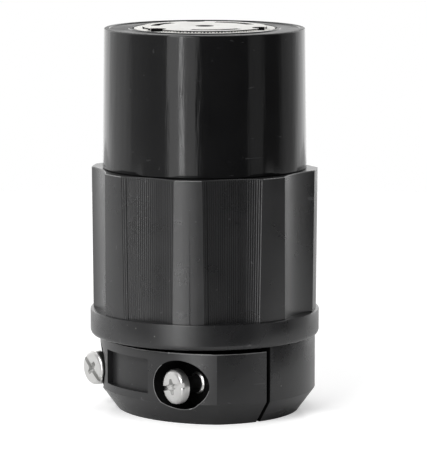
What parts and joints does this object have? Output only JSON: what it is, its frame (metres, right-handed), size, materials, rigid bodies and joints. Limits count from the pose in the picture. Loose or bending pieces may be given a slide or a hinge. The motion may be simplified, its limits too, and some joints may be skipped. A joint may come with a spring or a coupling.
{
  "type": "locking cord connector",
  "caption": "Cylindrical locking cord connector with a fluted grip, a collar, a two-part cord clamp with pan-head screws, and a white contact face with arc-shaped blade slots.",
  "frame": {"origin": "centre of the cord end's flat foot, on the connector's axis", "axes": "+Z along the connector's axis from the cord end to the contact face, -Y out of the clamp jaw's screw face, +X to the right as seen from the jaw"},
  "size_m": [0.0576, 0.0576, 0.0966],
  "materials": {
    "housing_black": "satin",
    "shell_black": "gloss",
    "face_white": "satin",
    "insulator_white": "matt",
    "contact_brass": "satin",
    "terminal_screw_brass": "gloss",
    "plate_steel": "satin",
    "screw_steel": "bright plated"
  },
  "bodies": {
    "root": {"rear_housing": "housing_black", "clamp_jaw": "housing_black", "front_shell": "shell_black", "face_insert": "face_white", "contact_carrier": "insulator_white", "terminal_base": "insulator_white", "hot_contact": "contact_brass", "hot_clamp_plate": "plate_steel", "hot_terminal_screw": "terminal_screw_brass", "neutral_contact": "contact_brass", "neutral_clamp_plate": "plate_steel", "neutral_terminal_screw": "screw_steel", "ground_contact": "contact_brass", "ground_clamp_plate": "plate_steel", "ground_terminal_screw": "screw_steel", "clamp_screw_left": "screw_steel", "clamp_washer_left": "screw_steel", "clamp_nut_left": "screw_steel", "clamp_screw_right": "screw_steel", "clamp_washer_right": "screw_steel", "clamp_nut_right": "screw_steel", "assembly_screw_right": "screw_steel", "assembly_screw_back": "screw_steel", "assembly_screw_left": "screw_steel"}
  },
  "joints": []
}
